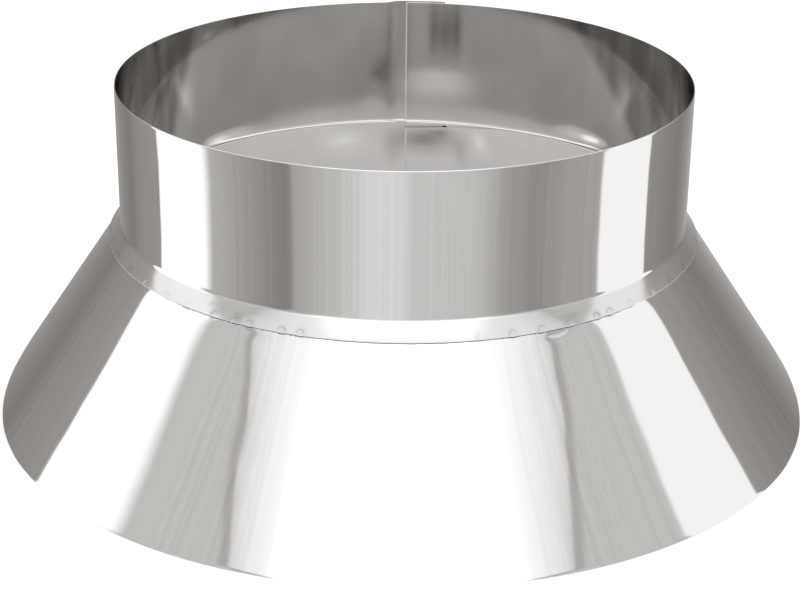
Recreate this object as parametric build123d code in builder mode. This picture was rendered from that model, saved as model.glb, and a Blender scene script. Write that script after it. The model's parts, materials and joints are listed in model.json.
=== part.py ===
from build123d import *
from math import atan2, cos, radians, sin, tan
import os

os.makedirs("parts", exist_ok=True)

# A storm collar for a round flue: an upright neck that grips the pipe and a wide conical skirt
# that throws the rain clear, both rolled from thin polished stainless sheet. Millimetres.
# The origin is on the axis, in the plane of the skirt's lower edge. +Z is up the flue, the front
# is -Y and both lap seams are at the back, at +Y.

# Driving dimensions
sheet = 0.5  # stainless sheet of both pieces
flue_od = 250.0  # outside diameter of the flue pipe that runs through the neck
slip = 0.5  # room between pipe and neck, each side
height = 148.0  # lower edge of the skirt to the rim of the neck
base_od = 368.0  # outside diameter at the lower edge of the skirt
joint_drop = 61.6  # rim down to the corner where the neck turns into its flange
flange_slant = 9.4  # corner to the free edge of the flange, along the slope
bend_r = 3.0  # outside radius of the bend between neck and flange
lift_slant = 3.0  # last part of the flange, which stands a little off the skirt
lift_angle = 6.0  # and by how many degrees
skirt_tuck = 0.5  # top edge of the skirt, down the slope from the end of the bend

# Lap seams: azimuths in degrees, counterclockwise from +X
seam_az = 88.7  # free end of the inner layer, the one that shows inside
lap_az = 80.1  # free end of the outer layer
joggle_az = 5.0  # arc in which a layer steps past the other
clear_az = 1.5  # the step is complete this far before the layers overlap
lap_gap = 0.08  # room left between the two layers
lap_spring = 0.35  # how much further the neck's outer end has sprung open
lap_rise = 0.7  # that end also stands this much above the rim
skirt_slip = 3.0  # the skirt's inner end was rolled this much too low at the seam
slip_az = 66.0  # where that fault starts

# Spot welds that hold the flange to the skirt
weld_r = 1.6
weld_depth = 0.15
weld_up = 1.1  # centre of a weld, up the slope from the flange's free edge
# set by hand and uneven where the front shows them, degrees from the front, towards +X
left_welds = (-60, -53, -46, -39, -33, -29, -24, -20, -13, -6)
right_welds = (1.5, 8, 15, 21, 27.5, 34, 40, 43, 49.5, 56)
rear_weld_count = 34  # the rest, evenly round the sides and the back
lap_margin_az = 3.0  # none closer than this to the flange's lap

# A knock in the skirt right under the flange
dent_az = 26.5
dent_r = 5.0
dent_depth = 0.25

# Derived
neck_ri = flue_od / 2 + slip
neck_ro = neck_ri + sheet
base_ro = base_od / 2
joint_z = height - joint_drop
slope = atan2(base_ro - neck_ri, joint_z)  # half-angle of the cone, from the axis
steep = slope + radians(lift_angle)
down, out = (sin(slope), -cos(slope)), (cos(slope), sin(slope))
down_l, out_l = (sin(steep), -cos(steep)), (cos(steep), sin(steep))
bend_len = (bend_r + sheet) * tan(slope / 2)
lift_start = flange_slant - lift_slant
skirt_start = bend_len + skirt_tuck
lap_step = (sheet + lap_gap) / cos(slope)  # radial step of the joggle


def upright(az, shift=(0.0, 0.0)):
    """Plane through the axis, or a shifted axis, at an azimuth: x is outwards, y is up."""
    c, s = cos(radians(az)), sin(radians(az))
    return Plane(origin=(shift[0], shift[1], 0), x_dir=(c, s, 0), z_dir=(s, -c, 0))


def on_slope(along, off=0.0):
    """Point at a distance down the slope from the corner and off the joint face, outwards."""
    return (neck_ri + along * down[0] + off * out[0], joint_z + along * down[1] + off * out[1])


def neck_section(plane, push=0.0, rise=0.0):
    """Section of the neck's strip: straight wall, bend, flange and its lifted edge."""
    z_bend = joint_z + bend_len
    centre = (neck_ro + bend_r, z_bend)
    under_end = on_slope(bend_len)
    top_end = on_slope(bend_len, sheet)
    fold = on_slope(lift_start)
    miter = sheet / (1 + out[0] * out_l[0] + out[1] * out_l[1])
    fold_top = (fold[0] + miter * (out[0] + out_l[0]), fold[1] + miter * (out[1] + out_l[1]))
    edge = (fold[0] + lift_slant * down_l[0], fold[1] + lift_slant * down_l[1])
    edge_top = (edge[0] + sheet * out_l[0], edge[1] + sheet * out_l[1])
    half = slope / 2
    mid_top = (centre[0] - bend_r * cos(half), centre[1] - bend_r * sin(half))
    under_r = bend_r + sheet
    mid_under = (centre[0] - under_r * cos(half), centre[1] - under_r * sin(half))

    def at(p):
        return (p[0] + push, p[1])

    with BuildSketch(plane) as section:
        with BuildLine():
            Polyline(at((neck_ri, z_bend)), at((neck_ri, height + rise)), at((neck_ro, height + rise)),
                     at((neck_ro, z_bend)))
            ThreePointArc(at((neck_ro, z_bend)), at(mid_top), at(top_end))
            Polyline(at(top_end), at(fold_top), at(edge_top), at(edge), at(fold), at(under_end))
            ThreePointArc(at(under_end), at(mid_under), at((neck_ri, z_bend)))
        make_face()
    return section.sketch


def skirt_section(plane, push=0.0):
    """Section of the skirt's strip, square at the top and trimmed level at the lower edge."""
    top_out = on_slope(skirt_start)
    top_in = on_slope(skirt_start, -sheet)
    base_ri = base_ro - sheet / cos(slope)
    with BuildSketch(plane) as section:
        with BuildLine():
            Polyline((top_out[0] + push, top_out[1]), (base_ro + push, 0), (base_ri + push, 0),
                     (top_in[0] + push, top_in[1]), close=True)
        make_face()
    return section.sketch


def weld_plane(az):
    """Plane on the flange's outer face at a weld, facing outwards."""
    along = lift_slant - weld_up
    fold = on_slope(lift_start)
    r = fold[0] + along * down_l[0] + sheet * out_l[0]
    z = fold[1] + along * down_l[1] + sheet * out_l[1]
    c, s = cos(radians(az)), sin(radians(az))
    face_out = (out_l[0] * c, out_l[0] * s, out_l[1])
    return Plane(origin=(r * c, r * s, z), x_dir=(-s, c, 0), z_dir=face_out)


# Neck: one strip, rolled into a ring. It starts at the inner end of the seam, runs once round on
# the bore's circle, joggles out past its own start and ends on top of it, sprung slightly open.
join_az = seam_az + joggle_az
meet_az = seam_az + clear_az
meet = radians(meet_az)
spread = sin(radians(meet_az - lap_az))
axis_shift = (sin(meet) * lap_spring / spread, -cos(meet) * lap_spring / spread)
with BuildPart() as neck:
    wall = neck_section(upright(join_az))
    revolve(wall, axis=Axis.Z, revolution_arc=360 - joggle_az)
    step_end = neck_section(upright(meet_az, axis_shift), lap_step, lap_rise)
    loft([wall.face(), step_end.face()], ruled=True)
    lap = neck_section(upright(lap_az, axis_shift), lap_step, lap_rise)
    sprung_axis = Axis((axis_shift[0], axis_shift[1], 0), (0, 0, 1))
    revolve(lap, axis=sprung_axis, revolution_arc=meet_az - lap_az)
    span = 360 - (right_welds[-1] - left_welds[0])
    pitch = span / (rear_weld_count + 1)
    rear_welds = [right_welds[-1] + pitch * (i + 1) for i in range(rear_weld_count)]
    azimuths = [az - 90 for az in left_welds + right_welds] + [
        az - 90 for az in rear_welds if not lap_az - lap_margin_az < az - 90 < join_az + lap_margin_az
    ]
    with Locations(*[Location(weld_plane(az)) for az in azimuths]):
        Cylinder(weld_r, 2 * weld_depth, mode=Mode.SUBTRACT)
neck.part.label = "neck"
export_step(neck.part, "parts/neck.step")

# Skirt: one blank, rolled into a cone. Its inner end steps in under the outer end and hangs a
# little low there, so its top edge drops away from the bend of the neck towards the seam.
with BuildPart() as skirt:
    start_az = lap_az - joggle_az
    under_az = lap_az - clear_az
    low_lap = skirt_section(upright(under_az), -lap_step)
    revolve(low_lap, axis=Axis.Z, revolution_arc=seam_az - under_az)
    step_in = skirt_section(upright(start_az))
    loft([step_in.face(), low_lap.face()], ruled=True)
    run = skirt_section(upright(slip_az))
    revolve(run, axis=Axis.Z, revolution_arc=start_az - slip_az)
    r_top, z_top = on_slope(skirt_start)
    turn = radians(slip_az)
    fall = skirt_slip / (r_top * sin(radians(seam_az - slip_az)))
    hinge, upward = (cos(turn), sin(turn), 0), (-fall * sin(turn), fall * cos(turn), 1)
    split(bisect_by=Plane(origin=(0, 0, z_top), x_dir=hinge, z_dir=upward), keep=Keep.BOTTOM)
    body = skirt_section(upright(lap_az))
    revolve(body, axis=Axis.Z, revolution_arc=360 - lap_az + slip_az)
    c, s = cos(radians(dent_az - 90)), sin(radians(dent_az - 90))
    ball = (dent_r**2 + dent_depth**2) / (2 * dent_depth)
    r_dent, z_dent = on_slope(flange_slant, ball - dent_depth)
    with Locations((r_dent * c, r_dent * s, z_dent)):
        Sphere(ball, mode=Mode.SUBTRACT)
skirt.part.label = "skirt"
export_step(skirt.part, "parts/skirt.step")
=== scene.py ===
import json
from math import atan2, cos, degrees, exp, hypot, pi, radians, sin, tan

import bmesh
import bpy
from mathutils import Matrix, Vector


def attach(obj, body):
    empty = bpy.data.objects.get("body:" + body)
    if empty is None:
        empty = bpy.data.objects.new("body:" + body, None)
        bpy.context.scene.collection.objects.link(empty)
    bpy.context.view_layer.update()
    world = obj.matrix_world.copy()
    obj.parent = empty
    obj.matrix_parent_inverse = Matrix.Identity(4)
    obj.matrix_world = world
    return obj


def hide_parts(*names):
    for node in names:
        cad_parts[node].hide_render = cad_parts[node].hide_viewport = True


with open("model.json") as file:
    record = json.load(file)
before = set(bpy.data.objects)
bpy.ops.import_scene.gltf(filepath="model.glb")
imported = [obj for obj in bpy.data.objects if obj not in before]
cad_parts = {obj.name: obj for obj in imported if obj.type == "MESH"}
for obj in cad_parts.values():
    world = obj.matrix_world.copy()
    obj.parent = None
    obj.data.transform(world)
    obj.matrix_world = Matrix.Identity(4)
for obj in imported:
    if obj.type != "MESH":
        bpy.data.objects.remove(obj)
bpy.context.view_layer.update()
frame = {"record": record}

# Neck: the upright collar band that grips the flue. It is one strip of 0.5 mm polished stainless,
# rolled into a ring with a lap seam at the back and flanged outwards at its lower end, where a
# row of spot welds holds it to the skirt.
MM = 0.001
SHEET = 0.5 * MM
RIM_Z = 148.0 * MM
CORNER_Z = RIM_Z - 61.6 * MM  # where the neck turns into its flange
BORE_R = frame["record"]["mounts"][0]["dims"]["r_mm"] * MM
BASE_R = 184.0 * MM
SLOPE = atan2(BASE_R - BORE_R, CORNER_Z)  # half-angle of the cone
BEND_R = 3.0 * MM
BEND_END = (BEND_R + SHEET) * tan(SLOPE / 2)
FLANGE = 9.4 * MM  # corner to free edge, down the slope
LIFTED = 3.0 * MM  # the flange's last part, which stands off the skirt
LIFTED_SLOPE = SLOPE + radians(6.0)
CALM = 3.2 * MM  # from here the flange curves softly into that part
EDGE_BREAK = 0.2 * MM
RIM_BREAK = 0.12 * MM
RIM_ROUND = Vector((0.3, 0.8)) * MM  # how far the rim's outer edge is rounded, across and down
# Rows of points up the wall, as shares of its height, close together by the bend
UPRIGHT_ROWS = (0, 0.02, 0.04, 0.06, 0.08, 0.1, 0.15, 0.2, 0.3, 0.4, 0.5, 0.6, 0.7, 0.8, 0.9, 0.98)

# Lap seam: azimuths in degrees, counterclockwise from +X
SEAM_AZ = 89.8  # free end of the inner layer
LAP_AZ = 81.1  # free end of the outer layer
JOGGLE_AZ = 5.0  # arc in which a layer steps past the other
CLEAR_AZ = 1.5  # the step is complete this far before they overlap
LAP_GAP = 0.08 * MM
LAP_STEP = (SHEET + LAP_GAP) / cos(SLOPE)
LAP_SPRING = 0.35 * MM  # how much further the outer end has sprung open
LAP_RISE = 0.7 * MM  # and how far it stands above the rim


def heading(angle, across=0.0):
    """Direction in the section plane, out and up, of a slope that leans out by an angle."""
    return Vector((sin(angle + across), -cos(angle + across)))


def on_slope(along, off=0.0, slope=SLOPE, start=Vector((BORE_R, CORNER_Z))):
    """Point of the section down the slope from the corner, and off its face."""
    return start + along * heading(slope) + off * heading(slope, pi / 2)


def swing(start, pull, end, t):
    """Point of a soft curve from start to end that leans towards pull."""
    return start.lerp(pull, t).lerp(pull.lerp(end, t), t)


def bow(centre, radius, start, end, steps):
    """Points of an arc in the section plane, ends included, angles in radians."""
    turn = [start + (end - start) * i / steps for i in range(steps + 1)]
    return [centre + radius * Vector((cos(a), sin(a))) for a in turn]


def ease(share):
    """A share from 0 to 1 with soft ends."""
    share = min(1.0, max(0.0, share))
    return share * share * (3 - 2 * share)


def neck_section():
    """Closed outline of the strip, each point with the side of the sheet that starts there."""
    bend = Vector((BORE_R + SHEET + BEND_R, CORNER_Z + BEND_END))
    tall = RIM_Z - bend.y
    fold, fold_top = on_slope(FLANGE - LIFTED), on_slope(FLANGE - LIFTED, SHEET)
    calm, calm_top = on_slope(CALM), on_slope(CALM, SHEET)
    edge = on_slope(LIFTED, 0, LIFTED_SLOPE, fold)
    edge_top = on_slope(LIFTED, 0, LIFTED_SLOPE, fold_top)
    steps = [i / 12 for i in range(1, 12)]
    up = [Vector((BORE_R, bend.y + tall * s)) for s in UPRIGHT_ROWS]
    rim = [Vector((BORE_R, RIM_Z - RIM_BREAK)), Vector((BORE_R + RIM_BREAK, RIM_Z))]
    middle = Vector((BORE_R + SHEET - RIM_ROUND.x, RIM_Z - RIM_ROUND.y))
    turns = [radians(90 - 18 * i) for i in range(6)]
    rim += [middle + Vector((RIM_ROUND.x * cos(a), RIM_ROUND.y * sin(a))) for a in turns]
    down = [Vector((BORE_R + SHEET, bend.y + tall * s)) for s in (0.75, 0.5, 0.25)]
    down += bow(bend, BEND_R, pi, pi + SLOPE, 8) + [on_slope((BEND_END + CALM) / 2, SHEET), calm_top]
    down += [swing(calm_top, fold_top, edge_top, t) for t in steps]
    cut = [
        on_slope(-EDGE_BREAK, 0, LIFTED_SLOPE, edge_top),
        on_slope(0, -EDGE_BREAK, LIFTED_SLOPE, edge_top),
    ]
    under = [edge] + [swing(edge, fold, calm, t) for t in steps[::3]]
    under += [calm, on_slope((BEND_END + CALM) / 2)] + bow(bend, BEND_R + SHEET, pi + SLOPE, pi, 8)[:-1]
    sides = (("inside", up), ("outside", rim + down), ("cut", cut), ("inside", under))
    return [(side, point) for side, points in sides for point in points]


def neck_shift(az):
    """How far the strip stands out of the bore's circle, and above the rim, at an azimuth."""
    join, meet = SEAM_AZ + JOGGLE_AZ, SEAM_AZ + CLEAR_AZ
    step = ease((join - az) / (join - meet))
    sprung = sin(radians(max(0.0, meet - az))) / sin(radians(meet - LAP_AZ))
    return LAP_STEP * step + LAP_SPRING * sprung, LAP_RISE * step


SHARP_FOLD = radians(32)


def roll_strip(name, outline, start, end, pitch, shift):
    """A strip of sheet rolled round the axis from one azimuth to another, closed at both ends."""
    sides, section = zip(*outline)
    low = min(p.y for p in section)
    tall = max(p.y for p in section) - low
    count = round(abs(end - start) / pitch)
    mesh = bmesh.new()
    rings = []
    for i in range(count + 1):
        az = start + (end - start) * i / count
        push, rise = shift(az)
        spot = Vector((cos(radians(az)), sin(radians(az)), 0))
        ring = []
        for p in section:
            share = (p.y - low) / tall
            ring.append(mesh.verts.new(spot * (p.x + push) + Vector((0, 0, p.y + rise * share))))
        rings.append(ring)
    size = len(section)
    for near, far in zip(rings, rings[1:]):
        for j in range(size):
            k = (j + 1) % size
            mesh.faces.new((near[j], near[k], far[k], far[j]))
    mesh.faces.new(rings[0][::-1])
    mesh.faces.new(rings[-1])
    bmesh.ops.recalc_face_normals(mesh, faces=mesh.faces)
    for face in mesh.faces:
        face.smooth = True
    for line in mesh.edges:
        line.smooth = line.calc_face_angle(0) < SHARP_FOLD
    data = bpy.data.meshes.new(name)
    mesh.to_mesh(data)
    mesh.free()
    for finish in ("tarnish", "worn"):
        data.attributes.new(finish, "FLOAT", "POINT")
    # At the seam the inner face's last column shines like a cut edge, and so do the end faces.
    seam_column = 0 if start > end else count - 1
    for side in ("inside", "cut"):
        layer = data.attributes.new(side, "FLOAT", "CORNER")
        for face in data.polygons:
            column, row = divmod(face.index, size)
            end_face = column >= count
            burr = side == "cut" and column == seam_column and sides[row] == "inside"
            share = 1.0 if burr or sides[0 if end_face else row] == side or end_face else 0.0
            for corner in face.loop_indices:
                layer.data[corner].value = share
    piece = bpy.data.objects.new(name, data)
    bpy.context.scene.collection.objects.link(piece)
    return piece


class Wire:
    """A node's output that is used in arithmetic, so that shader and geometry maths reads plainly."""

    def __init__(self, graph, socket):
        self.graph, self.socket = graph, socket

    def math(self, operation, *others):
        """A Math node on this value and the others."""
        inputs = dict(enumerate((self,) + others))
        return self.graph.node("ShaderNodeMath", {"operation": operation}, inputs)

    def __add__(self, other):
        return self.math("ADD", other)

    def __radd__(self, other):
        return self.math("ADD", other)

    def __sub__(self, other):
        return self.math("SUBTRACT", other)

    def __rsub__(self, other):
        return (self * -1) + other

    def __mul__(self, other):
        return self.math("MULTIPLY", other)

    def __rmul__(self, other):
        return self.math("MULTIPLY", other)

    def __truediv__(self, other):
        return self.math("DIVIDE", other)

    def __gt__(self, other):
        return self.math("GREATER_THAN", other)

    def __lt__(self, other):
        return self.math("LESS_THAN", other)

    def __abs__(self):
        return self.math("ABSOLUTE")

    def between(self, low, high, to_low=0.0, to_high=1.0):
        """Soft step of this value from low to high, either way round."""
        settings = {"interpolation_type": "SMOOTHSTEP"}
        inputs = {0: self, 1: low, 2: high, 3: to_low, 4: to_high}
        return self.graph.node("ShaderNodeMapRange", settings, inputs)


class Graph:
    """A node tree. One method adds any node: its settings first, then its sockets."""

    def __init__(self, tree):
        self.tree = tree

    def feed(self, socket, value):
        """Links a wire to a socket, or sets its value."""
        if isinstance(value, Wire):
            self.tree.links.new(value.socket, socket)
        else:
            socket.default_value = value

    def node(self, kind, settings=None, inputs=None, out=0):
        """Adds a node and gives back one of its outputs. A ramp's stops are places and greys."""
        made = self.tree.nodes.new(kind)
        for name, value in (settings or {}).items():
            if name == "stops":
                ramp = made.color_ramp
                while len(ramp.elements) < len(value):
                    ramp.elements.new(1.0)
                for stop, (place, shade) in zip(ramp.elements, value):
                    stop.position = place
                    stop.color = (shade, shade, shade, 1.0)
            else:
                setattr(made, name, value)
        for key, value in (inputs or {}).items():
            self.feed(made.inputs[key], value)
        return Wire(self, made.outputs[out]) if len(made.outputs) else None

    def parts(self, vector):
        """The three components of a vector."""
        split = self.node("ShaderNodeSeparateXYZ", inputs={0: vector})
        return [Wire(self, output) for output in split.socket.node.outputs]

    def blend(self, share, first, second):
        """A colour between two others."""
        return self.node("ShaderNodeMix", {"data_type": "RGBA"}, {0: share, 6: first, 7: second}, out=2)

    def painted(self, name):
        """A value that is stored on the mesh."""
        return self.node("ShaderNodeAttribute", {"attribute_name": name}, out="Fac")


CLEAN = (0.80, 0.792, 0.78, 1)
PLAIN_AND_SHADED = (0.68, 0.667, 0.65, 1)  # the duller inner face of the sheet, also darkened as painted shade for the inside
HEATED = (0.50, 0.485, 0.465, 1)
STAIN_AND_SHADE = (0.30, 0.285, 0.27, 1)
BURNISHED_AND_SHEEN = (0.88, 0.875, 0.865, 1)
# Painted shadow: the dark colour of the gap under the flange's free edge.
GAP_SHADE_COLOUR = (0.16, 0.15, 0.14, 1)
WELD_R = 1.6 * MM
GAP_SHADE_OUT = 0.12 * MM  # the painted shadow line under the flange's edge reaches this far past it
MARK_DEPTH = 0.03 * MM


def polished_stainless(name, waviness, flange, painted_gap_shadow):
    """Bright-annealed stainless: a near mirror with rolling grain, soft waves and weld marks."""
    material = bpy.data.materials.new(name)
    material.use_nodes = True
    material.node_tree.nodes.clear()
    g = Graph(material.node_tree)
    spot = g.node("ShaderNodeTexCoord", out="Object")
    x, y, z = g.parts(spot)
    around = y.math("ARCTAN2", x)
    back = x.math("ARCTAN2", y) * degrees(1)
    front = 180 - abs(back)
    radius = (x * x + y * y).math("SQRT")
    slant = (radius - BORE_R) * sin(SLOPE) + (CORNER_Z - z) * cos(SLOPE)
    weld, depth, cut = g.painted("weld"), g.painted("weld depth"), g.painted("cut")
    inside, tarnish, worn = g.painted("inside"), g.painted("tarnish"), g.painted("worn")

    # Grain and soft waves run from edge to edge of the strip, smears and clouds go anywhere.
    along = g.node("ShaderNodeCombineXYZ", inputs={0: around * 220.0, 1: slant * 9.0, 2: 0.0})
    grain = g.node("ShaderNodeTexNoise", inputs={"Vector": along, "Scale": 1.0, "Detail": 3.0})
    long_wave = g.node("ShaderNodeCombineXYZ", inputs={0: around * 3.2, 1: slant * 14.0, 2: 0.0})
    wave = g.node("ShaderNodeTexNoise", inputs={"Vector": long_wave, "Scale": 1.0, "Detail": 1.5})
    smear = g.node("ShaderNodeTexNoise", inputs={"Vector": spot, "Scale": 22.0, "Detail": 4.0})
    cloud = g.node("ShaderNodeTexNoise", inputs={"Vector": spot, "Scale": 17.0, "Detail": 3.0})

    # Each weld leaves a pressed ring and a heated halo, and the flange is dulled by handling.
    ring = weld.between(1.2 * MM, 1.5 * MM) * weld.between(1.95 * MM, WELD_R) * depth
    ring = ring * slant.between(FLANGE - 0.6 * MM, FLANGE - 1.4 * MM)
    heat = weld.between(4.0 * MM, 1.4 * MM) * depth
    near_flange = slant.between(0.8 * MM, 1.6 * MM) * (1 - inside) * flange
    spent = ring * 0.7 + heat * 0.18 + near_flange * (0.32 + smear.between(0.5, 0.8) * 0.25)

    # A broken dark line of painted shadow shows under the flange's edge, where the gap between flange and
    # skirt lies in shade, strongest off the middle.
    broken = g.node("ShaderNodeTexNoise", {"noise_dimensions": "1D"}, {"W": around * 26.0, "Detail": 3.0})
    aside = front.between(12, 18) * front.between(48, 42)
    reach = FLANGE + GAP_SHADE_OUT + aside * (0.15 + broken.between(0.45, 0.7) * 0.35) * MM
    reach = reach + weld.between(2.8 * MM, 0.8 * MM) * 0.4 * MM
    gap_shade_mask = slant.between(reach, reach - 0.25 * MM) * (slant > FLANGE - 0.4 * MM) * (1 - inside)
    gap_shade_mask = gap_shade_mask * painted_gap_shadow * (0.3 + aside * 0.7) * front.between(58, 52)

    # Inside, the wall is dull in clouds and has stains by the seams; towards its sides and in both flanks
    # it is darkened with painted shade where dark reflections fall, and by the seams it has painted
    # highlights.
    streak = g.node("ShaderNodeTexNoise", {"noise_dimensions": "1D"}, {"W": back * 0.045, "Detail": 0.0})
    drop = (RIM_Z - z) / MM
    # Painted shade: dark streaky bands in both flanks of the inside, standing in for dark reflections.
    flank_shade = (back + drop * 0.18).between(-50, -54) + (back - drop * 0.43).between(37, 42)
    flank_shade = flank_shade * y.between(-70 * MM, -50 * MM) * streak.between(0.35, 0.65, 0.72, 1.0)
    dull_and_shade = cloud.between(0.35, 0.65) * 0.14 + abs(back).between(12, 60) * 0.16
    dull_and_shade = dull_and_shade + flank_shade * 0.85 * flange
    tarnish = tarnish * inside.math("MAXIMUM", near_flange)
    # Painted highlight: the sheen patches turn the steel lighter and less metallic, so that they show as
    # bright streaks.
    worn = worn * inside * cloud.between(0.36, 0.5, 0.35, 1.0)

    rough = 0.035 + grain * 0.03 + smear.between(0.45, 0.75) * 0.025 + inside * 0.025 + heat * 0.05
    rough = rough + near_flange * 0.06 + cut * 0.3 + gap_shade_mask * 0.3 + worn * 0.1 + tarnish * 0.04
    colour = g.blend(inside, g.blend(spent, CLEAN, HEATED), PLAIN_AND_SHADED)
    colour = g.blend(tarnish + inside * dull_and_shade, colour, STAIN_AND_SHADE)
    colour = g.blend(cut.math("MAXIMUM", worn), colour, BURNISHED_AND_SHEEN)
    colour = g.blend(gap_shade_mask, colour, GAP_SHADE_COLOUR)
    metal = 1 - inside * 0.03 - cut * 0.75 - worn * 0.1 - near_flange * 0.12
    full = {"Strength": 1.0}
    waves = g.node("ShaderNodeBump", inputs={**full, "Distance": waviness, "Height": wave})
    pressed = {**full, "Distance": MARK_DEPTH, "Height": ring, "Normal": waves}
    finish = {"Base Color": colour, "Metallic": metal, "Roughness": rough}
    finish["Normal"] = g.node("ShaderNodeBump", inputs=pressed)
    shader = g.node("ShaderNodeBsdfPrincipled", inputs=finish)
    g.node("ShaderNodeOutputMaterial", inputs={"Surface": shader})
    return material


# Spot welds: degrees from the front, towards +X, and how hard each was pressed
LEFT_WELDS = (-54.8, -47.9, -42.1, -35.2, -30.4, -27.6, -21.3, -17.8, -11.1, -5.0)
RIGHT_WELDS = (1.7, 7.5, 13.6, 19.5, 25.0, 30.5, 36.8, 40.0, 45.6, 52.0)
LEFT_FORCE = (1.0, 0.35, 0.25, 0.9, 0.5, 0.7, 1.0, 0.9, 0.2, 0.1)
RIGHT_FORCE = (0.25, 0.15, 0.25, 0.8, 0.6, 0.7, 1.0, 1.0, 0.4, 0.8)
REAR_FORCE = 0.8
REAR_WELDS = 34
LAP_MARGIN = 3.0
WELD_UP = 1.1 * MM  # centre of a weld, up the slope from the flange's free edge


def weld_azimuths():
    """Azimuths of the spot welds: uneven where the front shows them, then evenly round the back."""
    rest = 360 - RIGHT_WELDS[-1] + LEFT_WELDS[0]
    rear = [RIGHT_WELDS[-1] + rest * (i + 1) / (REAR_WELDS + 1) for i in range(REAR_WELDS)]
    lap = (LAP_AZ - LAP_MARGIN, SEAM_AZ + JOGGLE_AZ + LAP_MARGIN)
    return [az - 90 for az in LEFT_WELDS + RIGHT_WELDS] + [
        az - 90 for az in rear if not lap[0] < az - 90 < lap[1]
    ]


def press_welds(piece, section_point, slope, radius, press, squeeze):
    """Geometry Nodes press the sheet in at each weld and keep the distance to the nearest one."""
    spots = bpy.data.meshes.new("weld_centres")
    turns = [radians(az) for az in weld_azimuths()]
    places = [(section_point.x * cos(a), section_point.x * sin(a), section_point.y) for a in turns]
    spots.from_pydata(places, [], [])
    forces = list(LEFT_FORCE + RIGHT_FORCE)
    forces += [REAR_FORCE] * (len(places) - len(forces))
    spots.attributes.new("force", "FLOAT", "POINT").data.foreach_set("value", forces)
    centres = bpy.data.objects.new("weld_centres", spots)
    bpy.context.scene.collection.objects.link(centres)

    tree = bpy.data.node_groups.new("spot_welds", "GeometryNodeTree")
    face = tree.interface
    face.new_socket("Geometry", in_out="INPUT", socket_type="NodeSocketGeometry")
    wanted = {
        "Weld centres": ("NodeSocketObject", centres),
        "Weld radius": ("NodeSocketFloat", radius),
        "Press": ("NodeSocketFloat", press),
        "Squeeze": ("NodeSocketFloat", squeeze),
        "Lean": ("NodeSocketFloat", slope),
        "Seed": ("NodeSocketInt", 7),
        "Sheet": ("NodeSocketMaterial", piece.data.materials[0]),
    }
    for label, (kind, _) in wanted.items():
        face.new_socket(label, in_out="INPUT", socket_type=kind)
    face.new_socket("Geometry", in_out="OUTPUT", socket_type="NodeSocketGeometry")
    g = Graph(tree)
    given = g.node("NodeGroupInput").socket.node.outputs
    shape, centre_object, size, depth, spread, lean, seed, sheet = (Wire(g, given[i]) for i in range(8))
    info = g.node(
        "GeometryNodeObjectInfo", {"transform_space": "RELATIVE"}, {"Object": centre_object}, "Geometry"
    )
    near = g.node("GeometryNodeProximity", {"target_element": "POINTS"}, {0: info}, "Distance")
    force = g.node("GeometryNodeInputNamedAttribute", {"data_type": "FLOAT"}, {"Name": "force"})
    luck = {2: 0.7, 3: 1.1, "Seed": seed}
    force = force * g.node("FunctionNodeRandomValue", {"data_type": "FLOAT"}, luck, out=1)
    nearest = g.node("GeometryNodeSampleNearest", {"domain": "POINT"}, {0: info})
    values = {"data_type": "FLOAT", "domain": "POINT"}
    pushed = g.node("GeometryNodeSampleIndex", values, {0: info, 1: force, "Index": nearest})
    store = "GeometryNodeStoreNamedAttribute"
    measured = g.node(store, values, {"Geometry": shape, "Name": "weld", "Value": near})
    stored = g.node(store, values, {"Geometry": measured, "Name": "weld depth", "Value": pushed})
    x, y, _ = g.parts(g.node("GeometryNodeInputPosition"))
    radial = (x * x + y * y).math("SQRT")
    fade = near.between(size * 1.6, size * 0.3)
    inward, downward = fade * depth * (0.4 + pushed * 0.6), fade * spread * pushed
    flat = (downward * lean.math("SINE") - inward * lean.math("COSINE")) / radial
    drop = (downward * lean.math("COSINE") + inward * lean.math("SINE")) * -1
    move = g.node("ShaderNodeCombineXYZ", inputs={0: x * flat, 1: y * flat, 2: drop})
    moved = g.node("GeometryNodeSetPosition", inputs={"Geometry": stored, "Offset": move})
    solid = g.node("GeometryNodeRealizeInstances", inputs={0: moved})
    dressed = g.node("GeometryNodeSetMaterial", inputs={"Geometry": solid, "Material": sheet})
    g.node("NodeGroupOutput", inputs={0: dressed})

    modifier = piece.modifiers.new("spot_welds", "NODES")
    modifier.node_group = tree
    for item in tree.interface.items_tree:
        if item.in_out == "INPUT" and item.name in wanted:
            modifier[item.identifier] = wanted[item.name][1]
    graph = bpy.context.evaluated_depsgraph_get()
    finished = bpy.data.meshes.new_from_object(piece.evaluated_get(graph))
    piece.modifiers.clear()
    piece.data = finished
    bpy.data.objects.remove(centres)


LIP = 0.12  # height of the lip round a knock against the knock's depth
LIP_REACH = 1.4  # and where it ends, in radii of the knock
NEARBY = 0.2  # radians


def knock(piece, az, slant, wide, tall, depth):
    """A shallow knock in the sloping face, with a sharp lip all round."""
    at = on_slope(slant)
    inward = heading(SLOPE, -pi / 2)
    for vertex in piece.data.vertices:
        out = Vector((vertex.co.x, vertex.co.y, 0))
        turn = radians((degrees(atan2(out.y, out.x)) + 90 - az + 180) % 360 - 180)
        if abs(turn) > NEARBY:
            continue
        down = (Vector((out.length, vertex.co.z)) - at).dot(heading(SLOPE))
        away = hypot(turn * out.length / wide, down / tall)
        lip = LIP * max(0.0, LIP_REACH - away) / (LIP_REACH - 1)
        push = depth * (1 - away * away if away < 1 else -lip)
        vertex.co += out.normalized() * inward.x * push + Vector((0, 0, inward.y * push))


PATCH_REACH = 2.6  # a patch has faded out at this many half-widths


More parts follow.
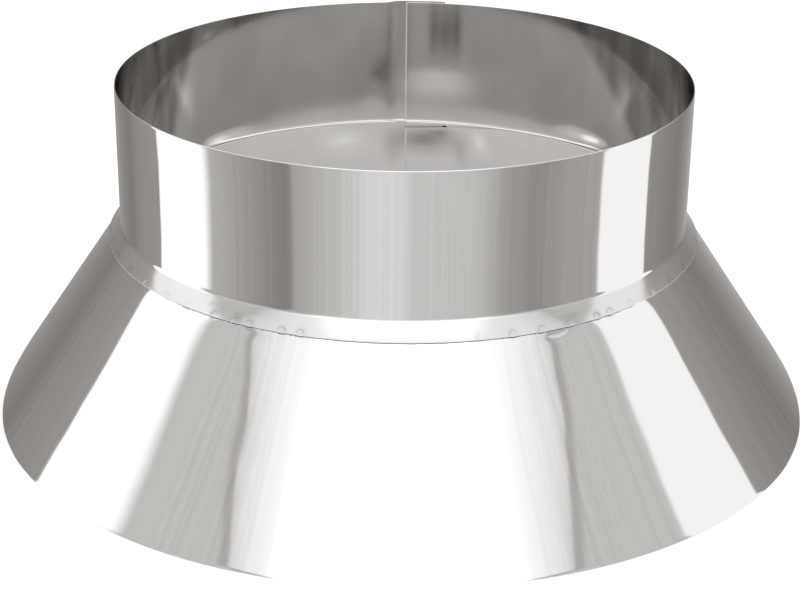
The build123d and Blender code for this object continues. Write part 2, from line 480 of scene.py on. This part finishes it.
def add_patch(piece, finish, az, height, wide, tall, amount):
    """Adds a soft patch of a stored value to the sheet, such as tarnish by a seam or a painted highlight
    on a bend.
    """
    layer = piece.data.attributes[finish].data
    for vertex, value in zip(piece.data.vertices, layer):
        out = Vector((vertex.co.x, vertex.co.y, 0))
        turn = degrees(atan2(out.y, out.x)) - az
        share = ((turn + 180) % 360 - 180) * radians(1) * out.length / wide
        rise = (vertex.co.z - height) / tall
        if abs(share) < PATCH_REACH and abs(rise) < PATCH_REACH:
            value.value += amount * exp(-share * share - rise * rise)


def warp(piece, az, height, wide, tall, depth):
    """A soft bulge of the rolled wall, round the axis and upright, where a seam has drawn it."""
    for vertex in piece.data.vertices:
        out = Vector((vertex.co.x, vertex.co.y, 0))
        turn = degrees(atan2(out.y, out.x)) - az
        share = ((turn + 180) % 360 - 180) * radians(1) * out.length / wide
        rise = (vertex.co.z - height) / tall
        if abs(share) < PATCH_REACH and abs(rise) < PATCH_REACH:
            vertex.co += out.normalized() * depth * exp(-abs(share) ** 3 - rise * rise)


# Patches: azimuth, height, half-width, half-height, and how deep or strong
SEAM_WARPS = (
    (97.5, 122 * MM, 5 * MM, 30 * MM, -0.14 * MM),
    (82.3, 119 * MM, 20 * MM, 10.5 * MM, -0.5 * MM),
    (134.3, CORNER_Z + 0.5 * MM, 13 * MM, 3 * MM, 0.2 * MM),
    (45.0, CORNER_Z + 1.5 * MM, 14 * MM, 4 * MM, 0.38 * MM),
)
SEAM_TARNISH = (
    (94.3, 112.0 * MM, 3.3 * MM, 7.5 * MM, 1.0),
    (96.3, 113.5 * MM, 3.6 * MM, 3.4 * MM, 0.9),
    (93.6, 131 * MM, 1.8 * MM, 15 * MM, 0.5),
    (83.6, 135 * MM, 2.4 * MM, 15 * MM, 0.6),
    (78.1, 135 * MM, 2.2 * MM, 14 * MM, 0.6),
    (80.8, 134 * MM, 5.5 * MM, 13 * MM, 0.9),
    (89.2, 128 * MM, 1.2 * MM, 30 * MM, 0.2),
    (-125.0, 81.5 * MM, 3.0 * MM, 1.4 * MM, 0.3),
    (-120.3, 81.0 * MM, 2.0 * MM, 1.9 * MM, 0.3),
    (-58.5, 82.0 * MM, 5.0 * MM, 1.4 * MM, 0.3),
)
# Painted highlights: lighter patches along the bends and on the far wall, where bright reflections fall.
WALL_SHEENS = (
    (134.3, CORNER_Z + 2.2 * MM, 13 * MM, 1.2 * MM, 1.0),
    (45.0, CORNER_Z + 3.4 * MM, 14 * MM, 2.0 * MM, 1.0),
    (82.0, 108.5 * MM, 21 * MM, 8.5 * MM, 1.0),
)
# Small knocks in the flange: azimuth from the front, millimetres down the slope, half-width
FLANGE_KNOCKS = ((-36.0, 5.6, 3.4), (-31.0, 4.6, 2.6), (30.5, 4.8, 4.2))

neck = roll_strip("neck_sheet", neck_section(), SEAM_AZ + 360, LAP_AZ, pitch=0.25, shift=neck_shift)
steel = polished_stainless("neck_stainless", waviness=0.05 * MM, flange=1.0, painted_gap_shadow=0.0)
neck.data.materials.append(steel)
for patch in SEAM_TARNISH:
    add_patch(neck, "tarnish", *patch)
for patch in WALL_SHEENS:
    add_patch(neck, "worn", *patch)
for bulge in SEAM_WARPS:
    warp(neck, *bulge)
for az, slant, size in FLANGE_KNOCKS:
    knock(neck, az, slant * MM, wide=size * MM, tall=size * 0.6 * MM, depth=0.025 * MM)
fold_at = on_slope(FLANGE - LIFTED, SHEET)
weld_at = on_slope(LIFTED - WELD_UP, 0, LIFTED_SLOPE, fold_at)
press_welds(neck, weld_at, LIFTED_SLOPE, radius=WELD_R, press=0.06 * MM, squeeze=0.3 * MM)
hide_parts("neck")
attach(neck, "root")

# Skirt: the cone that throws the rain clear, rolled from one blank of the same sheet. It laps
# at the back in line with the neck's seam, where its inner end was rolled a little too low, and
# it runs up under the neck's flange. The lower edge is a plain level cut.
SKIRT_START = BEND_END + 0.12 * MM
SKIRT_SLIP = 3.0 * MM  # how much too low the inner end was rolled
SLIP_AZ = 66.0  # where that fault starts
SLIP_REACH = 20 * MM  # and how far down the cone it is felt
CLOSE_UP = 0.62 * MM
CLOSE_UP_REACH = 9 * MM
DRAWN = 0.2 * MM
FOOT_BREAK = Vector((0.05, 0.33)) * MM  # outer corner of the level cut, across and up the slope
DENT_AZ = 28.0  # from the front, towards +X
DENT_R = 6.2 * MM
DENT_DEPTH = 0.13 * MM
# Rows of points down the outside, in millimetres, close together by the flange's edge
ROWS_BY_FLANGE = (
    3, 5, 6.5, 7.4, 8, 8.5, 8.9, 9.2, 9.5, 9.8, 10.1, 10.5,
    10.9, 11.3, 11.7, 12.1, 12.6, 13.2, 14, 15.2, 17, 20, 25,
)


def draw(slant):
    """How far the welds have drawn the cone in, round the flange's free edge."""
    away = (slant - 9 * MM) / (3.5 * MM if slant > 9 * MM else 3 * MM)
    return DRAWN * exp(-abs(away))


def skirt_section():
    """Closed outline of the skirt's sheet: down the outside, across the level cut and back up."""
    run = CORNER_Z / cos(SLOPE)
    near = [row * MM for row in ROWS_BY_FLANGE]
    rows = near + [run * share for share in (0.3, 0.4, 0.55, 0.7, 0.85, 0.985)]
    outside = [on_slope(SKIRT_START)] + [on_slope(row, -draw(row)) for row in rows]
    foot = [on_slope(run - FOOT_BREAK.y), Vector((BASE_R - FOOT_BREAK.x, 0))]
    inside = [Vector((BASE_R - SHEET / cos(SLOPE), 0))]
    inside += [on_slope(row * MM, -SHEET) for row in (90, 80, 70, 60, 50, 40, 30, 20, 15, 10, 5)]
    top = [on_slope(SKIRT_START, -SHEET)]
    sides = (("outside", outside), ("cut", foot), ("inside", inside), ("cut", top))
    return [(side, point) for side, points in sides for point in points]


def skirt_shift(az):
    """The skirt's inner end steps in under its outer end."""
    start, under = LAP_AZ - JOGGLE_AZ / 4 + 360, LAP_AZ - CLEAR_AZ / 10 + 360
    return -LAP_STEP * ease((az - start) / (under - start)), 0.0


def drop_top_edge(piece):
    """Lowers the top edge of the skirt's inner end towards the seam, down its own slope."""
    top = on_slope(SKIRT_START)
    fall = SKIRT_SLIP / (top.x * sin(radians(SEAM_AZ - SLIP_AZ)))
    count = len(skirt_section())
    columns = len(piece.data.vertices) // count
    for column in range(columns):
        az = LAP_AZ + (SEAM_AZ + 360 - LAP_AZ) * column / (columns - 1) - 360
        if az <= SLIP_AZ:
            continue
        drop = fall * top.x * sin(radians(az - SLIP_AZ)) / cos(SLOPE)
        outward = Vector((cos(radians(az)), sin(radians(az)), 0))
        down = outward * sin(SLOPE) - Vector((0, 0, cos(SLOPE)))
        for row in range(count):
            vertex = piece.data.vertices[column * count + row]
            depth = (top.y - vertex.co.z) / cos(SLOPE)
            if depth < SLIP_REACH:
                vertex.co += down * drop * (1 - depth / SLIP_REACH)


def close_up(piece):
    """Presses the top edge out against the flange, where the flange steps over its own end."""
    for vertex in piece.data.vertices:
        az = degrees(atan2(vertex.co.y, vertex.co.x))
        low = (CORNER_Z - vertex.co.z) / CLOSE_UP_REACH
        if SEAM_AZ < az < SEAM_AZ + 2 * JOGGLE_AZ and low < 1:
            out = Vector((vertex.co.x, vertex.co.y, 0)).normalized()
            vertex.co += out * CLOSE_UP * ease((SEAM_AZ + JOGGLE_AZ - az) / 3) * ease(2 - 2 * low)


SKIRT_WARPS = (
    (-116.0, 80.2 * MM, 20 * MM, 3.4 * MM, 0.24 * MM),
    (-63.5, 80.2 * MM, 20 * MM, 3.4 * MM, 0.24 * MM),
    (98.0, 74 * MM, 8 * MM, 6 * MM, 0.5 * MM),
    (76.5, 72 * MM, 4 * MM, 8 * MM, 0.4 * MM),
)
SKIRT_TARNISH = (
    (85.6, 76 * MM, 14 * MM, 8 * MM, 0.9),
    (81.8, 81.5 * MM, 5 * MM, 3 * MM, 0.5),
    (92.5, 68 * MM, 5 * MM, 10 * MM, 0.35),
    (78.0, 68 * MM, 4 * MM, 9 * MM, 0.35),
)
# Painted highlights: lighter patches on the skirt's inside by the seam.
SKIRT_SHEENS = ((103.5, 74.5 * MM, 9 * MM, 5 * MM, 1.0), (73.0, 75 * MM, 3.5 * MM, 7 * MM, 1.0))

skirt = roll_strip("skirt_sheet", skirt_section(), LAP_AZ, SEAM_AZ + 360, pitch=0.3, shift=skirt_shift)
steel = polished_stainless("skirt_stainless", waviness=0.42 * MM, flange=0.0, painted_gap_shadow=1.0)
skirt.data.materials.append(steel)
for patch in SKIRT_TARNISH:
    add_patch(skirt, "tarnish", *patch)
for patch in SKIRT_SHEENS:
    add_patch(skirt, "worn", *patch)
drop_top_edge(skirt)
close_up(skirt)
for bulge in SKIRT_WARPS:
    warp(skirt, *bulge)
knock(skirt, DENT_AZ, FLANGE, wide=DENT_R, tall=0.55 * DENT_R, depth=DENT_DEPTH)
weld_at = on_slope(FLANGE - WELD_UP)
press_welds(skirt, weld_at, SLOPE, radius=1.9 * MM, press=0.05 * MM, squeeze=0.0)
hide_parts("skirt")
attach(skirt, "root")

# Studio floor: a pale sweep that the collar stands on. Inside the collar the steel sees it with painted
# light, a glow that shows only in reflections, brightest in a painted pool in the middle and a bar along
# the back, and outside the steel looks past it into the studio, as over the edge of a small table.
TABLE_R = BASE_R + 4 * MM
POOL_R = 54 * MM  # the bright disc in the middle
BAR_Y = 88 * MM  # the bright bar along the back
PALE = (0.8, 0.8, 0.8, 1)
SHADE = (0.32, 0.32, 0.32, 1)
WARM_WHITE = (1, 0.985, 0.96, 1)
SPILL_GLOW = 0.35  # painted glow on the whole table, seen only in reflections
POOL_GLOW = 1.1  # and, brighter, on the disc and the bar


def studio_floor():
    """A wide pale plane with a soft shadow, white to the camera."""
    data = bpy.data.meshes.new("studio_floor")
    size = 6.0  # metres from the middle to each side
    corners = [(-size, -size, 0), (size, -size, 0), (size, size, 0), (-size, size, 0)]
    data.from_pydata(corners, [], [(0, 1, 2, 3)])
    floor = bpy.data.objects.new("studio_floor", data)
    bpy.context.scene.collection.objects.link(floor)
    material = bpy.data.materials.new("pale_table")
    material.use_nodes = True
    material.node_tree.nodes.clear()
    g = Graph(material.node_tree)
    spot = g.node("ShaderNodeTexCoord", out="Object")
    away = g.node("ShaderNodeVectorMath", {"operation": "LENGTH"}, {0: spot}, out="Value")
    ray = g.node("ShaderNodeLightPath").socket.node.outputs
    camera, glossy = Wire(g, ray["Is Camera Ray"]), Wire(g, ray["Is Glossy Ray"])
    paint = g.node("ShaderNodeBsdfDiffuse", inputs={"Color": PALE})
    shade = g.node("ShaderNodeBsdfDiffuse", inputs={"Color": SHADE})
    glow = g.node("ShaderNodeEmission", inputs={"Color": (1, 1, 1, 1), "Strength": 0.84})
    seen = g.node("ShaderNodeAddShader", inputs={0: shade, 1: glow})
    clear = g.node("ShaderNodeBsdfTransparent")
    x, y, _ = g.parts(spot)
    # Painted light: to reflections only, the table glows as if lit, most in the disc and the bar.
    spill = g.node("ShaderNodeEmission", inputs={0: WARM_WHITE, 1: SPILL_GLOW})
    beam = g.node("ShaderNodeEmission", inputs={0: WARM_WHITE, 1: POOL_GLOW})
    dim = g.node("ShaderNodeAddShader", inputs={0: paint, 1: spill})
    lit = g.node("ShaderNodeAddShader", inputs={0: paint, 1: beam})
    disc = away.between(POOL_R, 0.5 * POOL_R)
    bar = abs(y - BAR_Y).between(20 * MM, 10 * MM) * abs(x).between(130 * MM, 110 * MM)
    pool = g.node("ShaderNodeMixShader", inputs={0: disc.math("MAXIMUM", bar), 1: dim, 2: lit})
    mirrored = g.node("ShaderNodeMixShader", inputs={0: glossy, 1: paint, 2: pool})
    plain = g.node("ShaderNodeMixShader", inputs={0: camera, 1: mirrored, 2: seen})
    past = g.node("ShaderNodeMixShader", inputs={0: glossy * (away > TABLE_R), 1: plain, 2: clear})
    g.node("ShaderNodeOutputMaterial", inputs={"Surface": past})
    data.materials.append(material)


studio_floor()

# Studio light: a tent round the collar, painted into the world. Two tall white panels stand at
# the sides, grey walls between and behind them, and a wide white softbox hangs above the front.
PANEL_FROM = 82.5
PANEL_TO = 111.0
SOFTBOX_EDGE = 34.5
LEFT_PANEL = 1.27
RIGHT_PANEL = 1.12
OVERHEAD = 1.15
REAR_SKY = 0.84  # the paler band above the rear walls


def by_azimuth(pairs):
    """Ramp stops from azimuths in degrees, seen from the front, to shares of the circle."""
    return [((az + 180) / 360, shade) for az, shade in pairs]


def studio_world():
    """The light tent as a function of direction, white where the camera looks straight at it."""
    world = bpy.data.worlds.new("light_tent")
    bpy.context.scene.world = world
    world.use_nodes = True
    world.node_tree.nodes.clear()
    g = Graph(world.node_tree)
    look = g.node("ShaderNodeTexCoord", out="Generated")
    x, y, z = g.parts(look)
    azimuth = x.math("ARCTAN2", y * -1) * degrees(1)
    lift = z.math("ARCSINE") * degrees(1)
    share = azimuth / 360 + 0.5
    side = abs(azimuth)
    # Low down, as the upright neck sees it.
    low_walls = [
        (-180, 0.36), (-160, 0.34), (-150, 0.29), (-137, 0.245), (-129, 0.315), (-111.5, 0.36),
        (-111, 0.36), (-83, 0.56), (-69, 0.45), (-56, 0.34), (-47, 0.275), (-44, 0.29), (-42.5, 0.45),
        (-26, 0.62), (-12, 0.82), (1, 0.80), (2.2, 0.70), (27, 0.64), (36, 0.50), (38.5, 0.43),
        (52, 0.325), (66, 0.42), (82, 0.45), (112, 0.33), (137, 0.245), (150, 0.33), (170, 0.52),
        (180, 0.5),
    ]
    low = g.node("ShaderNodeValToRGB", {"stops": by_azimuth(low_walls)}, {0: share})
    low = g.node("ShaderNodeSeparateColor", inputs={0: low})
    # Behind and higher up, as the inner wall and the back of the skirt see it.
    rear_walls = [
        (-180, 0.42), (-160, 0.40), (-150, 0.34), (-137, 0.245), (-129, 0.32), (-116, 0.37), (-111, 0.43),
        (111, 0.38), (120, 0.36), (137, 0.245), (150, 0.36), (165, 0.44), (180, 0.44),
    ]
    rear = g.node("ShaderNodeValToRGB", {"stops": by_azimuth(rear_walls)}, {0: share})
    rear = g.node("ShaderNodeSeparateColor", inputs={0: rear})
    # In front and higher up, as the skirt sees it: the softbox up to its brow, then a grey wall.
    brow = azimuth.between(-20, 20, 52.3, 53.9) + (lift - 32.5) * 3.3
    grey_wall = 0.645 - side.between(brow + 7, brow + 2.5) * 0.17
    lit = g.node("ShaderNodeMapRange", inputs={0: side, 1: brow, 2: SOFTBOX_EDGE, 3: 0.76, 4: 1.25})
    lit_front = side.between(brow, brow - 1.2)
    front = grey_wall * (1 - lit_front) + lit * lit_front
    # The two side panels, each with its own edges.
    left = azimuth.between(3.5 - PANEL_FROM, -2.0 - PANEL_FROM) * (azimuth > -PANEL_TO)
    right_end = PANEL_TO - lift.between(2, 14) * 3.5
    right = azimuth.between(PANEL_FROM - 1.0, PANEL_FROM + 1.0) * (azimuth < right_end)
    is_rear = (side > PANEL_TO).math("MAXIMUM", azimuth > right_end)
    front = front + side.between(SOFTBOX_EDGE + 5, SOFTBOX_EDGE - 5) * 0.3
    # All of it together, with folds in the cloth of the tent and a white cloth overhead.
    high = front * (1 - is_rear) + rear * is_rear
    upward = lift.between(2.0, 22.0)
    wall = low * (1 - upward) + high * upward
    rear_top = lift.between(19.0, 27.0) * is_rear
    wall = wall * (1 - rear_top) + REAR_SKY * rear_top
    fine = g.node("ShaderNodeTexNoise", {"noise_dimensions": "1D"}, {"W": azimuth * 0.55, "Detail": 2.0})
    slow = azimuth * 0.12 + 40
    broad = g.node("ShaderNodeTexNoise", {"noise_dimensions": "1D"}, {"W": slow, "Detail": 2.0})
    wall = wall * (1 + ((fine - 0.5) * 0.5 + (broad - 0.5) * 0.22) * (1 - rear_top * 0.6))
    wall = wall * (1 - left - right) + left * LEFT_PANEL + right * RIGHT_PANEL
    overhead = lift.between(50.0, 60.0)
    wall = wall * (1 - overhead) + OVERHEAD * overhead
    green, blue = wall.math("POWER", 1.03), wall.math("POWER", 1.07)
    warm = g.node("ShaderNodeCombineXYZ", inputs={0: wall, 1: green, 2: blue})
    colour = g.blend(g.node("ShaderNodeLightPath", out="Is Camera Ray"), warm, (1, 1, 1, 1))
    back = g.node("ShaderNodeBackground", inputs={"Color": colour, "Strength": 1.0})
    g.node("ShaderNodeOutputWorld", inputs={"Surface": back})


studio_world()

# Camera: a long lens that looks down a little over the front of the rim, as the photo was taken.
# Its place is given from the middle of the rim.
CAMERA_AWAY = 872.172 * MM
CAMERA_LIFT = radians(16.653)
CAMERA_TURN = radians(-0.068)
CAMERA_TILT = radians(-6.316)
CAMERA_ROLL = radians(0.575)
LENS_SHARE = 1983.8 / 800  # focal length against the width of the picture


def place_camera():
    """Aims at the middle of the rim, then tilts down and rolls as the photo does."""
    data = bpy.data.cameras.new("photo_camera")
    data.sensor_width = 36.0
    data.lens = LENS_SHARE * data.sensor_width
    camera = bpy.data.objects.new("photo_camera", data)
    bpy.context.scene.collection.objects.link(camera)
    rim = Vector((0, 0, RIM_Z))
    place = rim + CAMERA_AWAY * Vector((0, -cos(CAMERA_LIFT), sin(CAMERA_LIFT)))
    forward = (rim - place).normalized()
    right = forward.cross(Vector((0, 0, 1))).normalized()
    up = right.cross(forward)
    forward, right = (
        forward * cos(CAMERA_TURN) + right * sin(CAMERA_TURN),
        right * cos(CAMERA_TURN) - forward * sin(CAMERA_TURN),
    )
    forward, up = (
        forward * cos(CAMERA_TILT) + up * sin(CAMERA_TILT),
        up * cos(CAMERA_TILT) - forward * sin(CAMERA_TILT),
    )
    right, up = (
        right * cos(CAMERA_ROLL) + up * sin(CAMERA_ROLL),
        up * cos(CAMERA_ROLL) - right * sin(CAMERA_ROLL),
    )
    turn = Matrix((right, up, -forward)).transposed()
    camera.matrix_world = Matrix.Translation(place) @ turn.to_4x4()
    bpy.context.scene.camera = camera


place_camera()
bpy.context.scene.view_settings.view_transform = "Standard"
